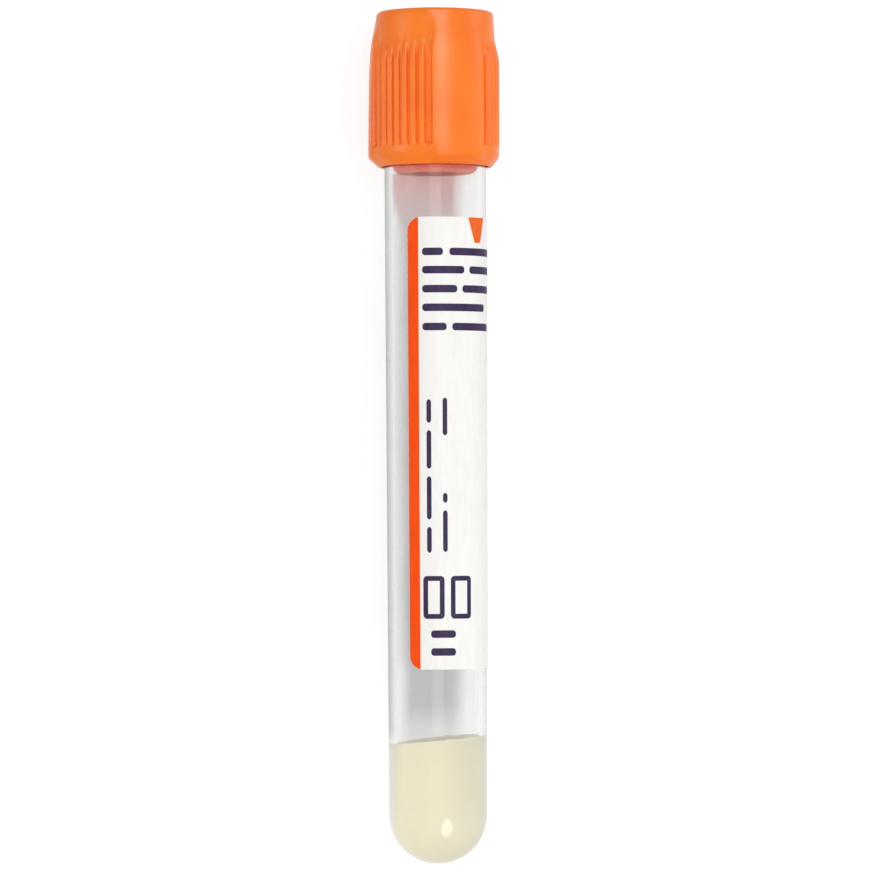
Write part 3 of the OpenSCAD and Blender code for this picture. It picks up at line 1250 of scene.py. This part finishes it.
@dataclass
class Studio:
    """The floor, the world, the lamps and the camera. Places in mm from the tube's foot."""

    camera_height: float = 46.0
    camera_distance: float = 620.0
    aim_height: float = 54.3
    aim_right: float = 0.33
    lens: float = 199.6
    roll: float = 0.27
    ambient: float = 0.8
    floor_size: float = 6000.0
    floor_tone: float = 0.3
    floor_glow: float = 0.74
    floor_lift: float = 0.05

    @staticmethod
    def hang(data: bpy.types.ID, place: Vector, back: Vector, top: Vector) -> Piece:
        """Hangs a camera or a lamp at a place.

        Args:
            data: The camera or the lamp.
            place: Where it hangs.
            back: The direction that its back faces.
            top: The direction that it keeps upwards.

        Returns:
            The object that holds it.
        """
        holder = bpy.data.objects.new(data.name, data)
        bpy.context.scene.collection.objects.link(holder)
        back = back.normalized()
        right = top.cross(back).normalized()
        holder.matrix_world = placed(right, back.cross(right), back, place)
        return holder

    def camera(self) -> None:
        """Sets up the camera in front of the label."""
        data = bpy.data.cameras.new("camera")
        data.lens, data.sensor_width = self.lens, 36.0
        data.clip_start, data.clip_end = 0.01, 20.0
        place = POSE.point(0, self.camera_height, self.camera_distance)
        turn = math.radians(self.roll)
        top = POSE.axis * math.cos(turn) + POSE.right * math.sin(turn)
        bpy.context.scene.camera = self.hang(
            data, place, place - POSE.point(self.aim_right, self.aim_height, 0), top
        )

    def world(self) -> None:
        """Lights the world evenly and shows it white."""
        world = bpy.data.worlds.new("studio")
        bpy.context.scene.world = world
        world.use_nodes = True
        nodes = NodeTree(world.node_tree)
        level = nodes.span(nodes.seen(), 0, 1, self.ambient, 1)
        nodes.fill(nodes.tree.nodes["Background"], Color=(1, 1, 1, 1), Strength=level)

    def floor(self) -> None:
        """Lays a white floor that keeps the tube's shadow."""
        floor = Bench.plane("floor", self.floor_size)
        sheet = NodeSheet("floor_paper")
        sheet.set(Base_Color=(*[self.floor_tone] * 3, 1), Roughness=1.0, Specular_IOR_Level=0.0)
        camera_ray = sheet.add("ShaderNodeLightPath").outputs["Is Camera Ray"]
        level = sheet.count("MULTIPLY", sheet.seen(), self.floor_glow)
        level = sheet.count("MULTIPLY_ADD", camera_ray, self.floor_lift, level)
        glow = sheet.add("ShaderNodeEmission", Strength=level)
        sheet.surface("ShaderNodeAddShader", sheet.body, glow.outputs["Emission"])
        floor.data.materials.append(sheet.material)

    def lamp(
        self, name: str, side: float, rise: float, distance: float, size: Point, radiance: float,
        reach: Reach, aim: float = 54.0, shape: str = "RECTANGLE",
    ) -> None:
        """Hangs a soft box that faces a point of the tube.

        Args:
            name: Name of the lamp.
            side: Angle around the tube, from its front towards its right.
            rise: Angle towards the closure's end.
            distance: Distance from the tube.
            size: Width across the tube and length along it.
            radiance: Brightness of its face, where a white wall has 1.
            reach: What it lights.
            aim: Height on the tube that it faces.
            shape: Shape of its face.
        """
        data = bpy.data.lights.new(name, "AREA")
        data.shape = shape
        data.size, data.size_y = size[0] * MM, size[1] * MM
        share = math.pi / 4 if shape == "ELLIPSE" else 1.0
        data.energy = radiance * math.pi * data.size * data.size_y * share
        turn, lift = math.radians(side), math.radians(rise)
        flat = distance * math.cos(lift)
        place = POSE.point(
            flat * math.sin(turn), aim + distance * math.sin(lift), flat * math.cos(turn)
        )
        lamp = self.hang(data, place, place - POSE.point(0, aim, 0), POSE.axis)
        lamp.visible_camera = False
        lamp.visible_diffuse = reach is not Reach.GLOSS
        lamp.visible_glossy = lamp.visible_transmission = reach is not Reach.DIFFUSE

    def build(self) -> None:
        """Sets up the whole studio."""
        self.camera()
        self.world()
        self.floor()
        wall, gloss = Reach.DIFFUSE, Reach.GLOSS
        self.lamp("key", 20, -20, 560, (320, 420), 1.2, wall)
        self.lamp("right_fill", 75, 0, 420, (300, 400), 1.12, wall)
        self.lamp("left_fill", -75, -18, 420, (300, 400), 1.05, wall)
        self.lamp("low_card", 22, -28, 520, (230, 390), 3.4, gloss, 6, "ELLIPSE")
        self.lamp("front_card", 0, 0, 520, (250, 164), 0.6, gloss, 72)
        self.lamp("cap_card", 12.5, 20.5, 555, (190, 330), 7.5, gloss, 98)
        self.lamp("cap_left_card", -63, 5.2, 402, (180, 28), 12.0, gloss, 98)
        self.lamp("cap_right_card", 88, 14.7, 310, (60, 126), 3.0, gloss, 98)
        bpy.context.scene.view_settings.view_transform = "Standard"


def main() -> None:
    """Builds the studio and every piece of the tube."""
    logging.basicConfig(level=logging.INFO, format="%(name)s: %(message)s")
    barrel = TubeBarrel()
    parts = (Studio(), barrel, GelPlug(barrel), Stopper(barrel), Shield(), Label(Wrap(barrel)))
    for part in parts:
        part.build()
    Bench.clear()


if __name__ == "__main__":
    main()
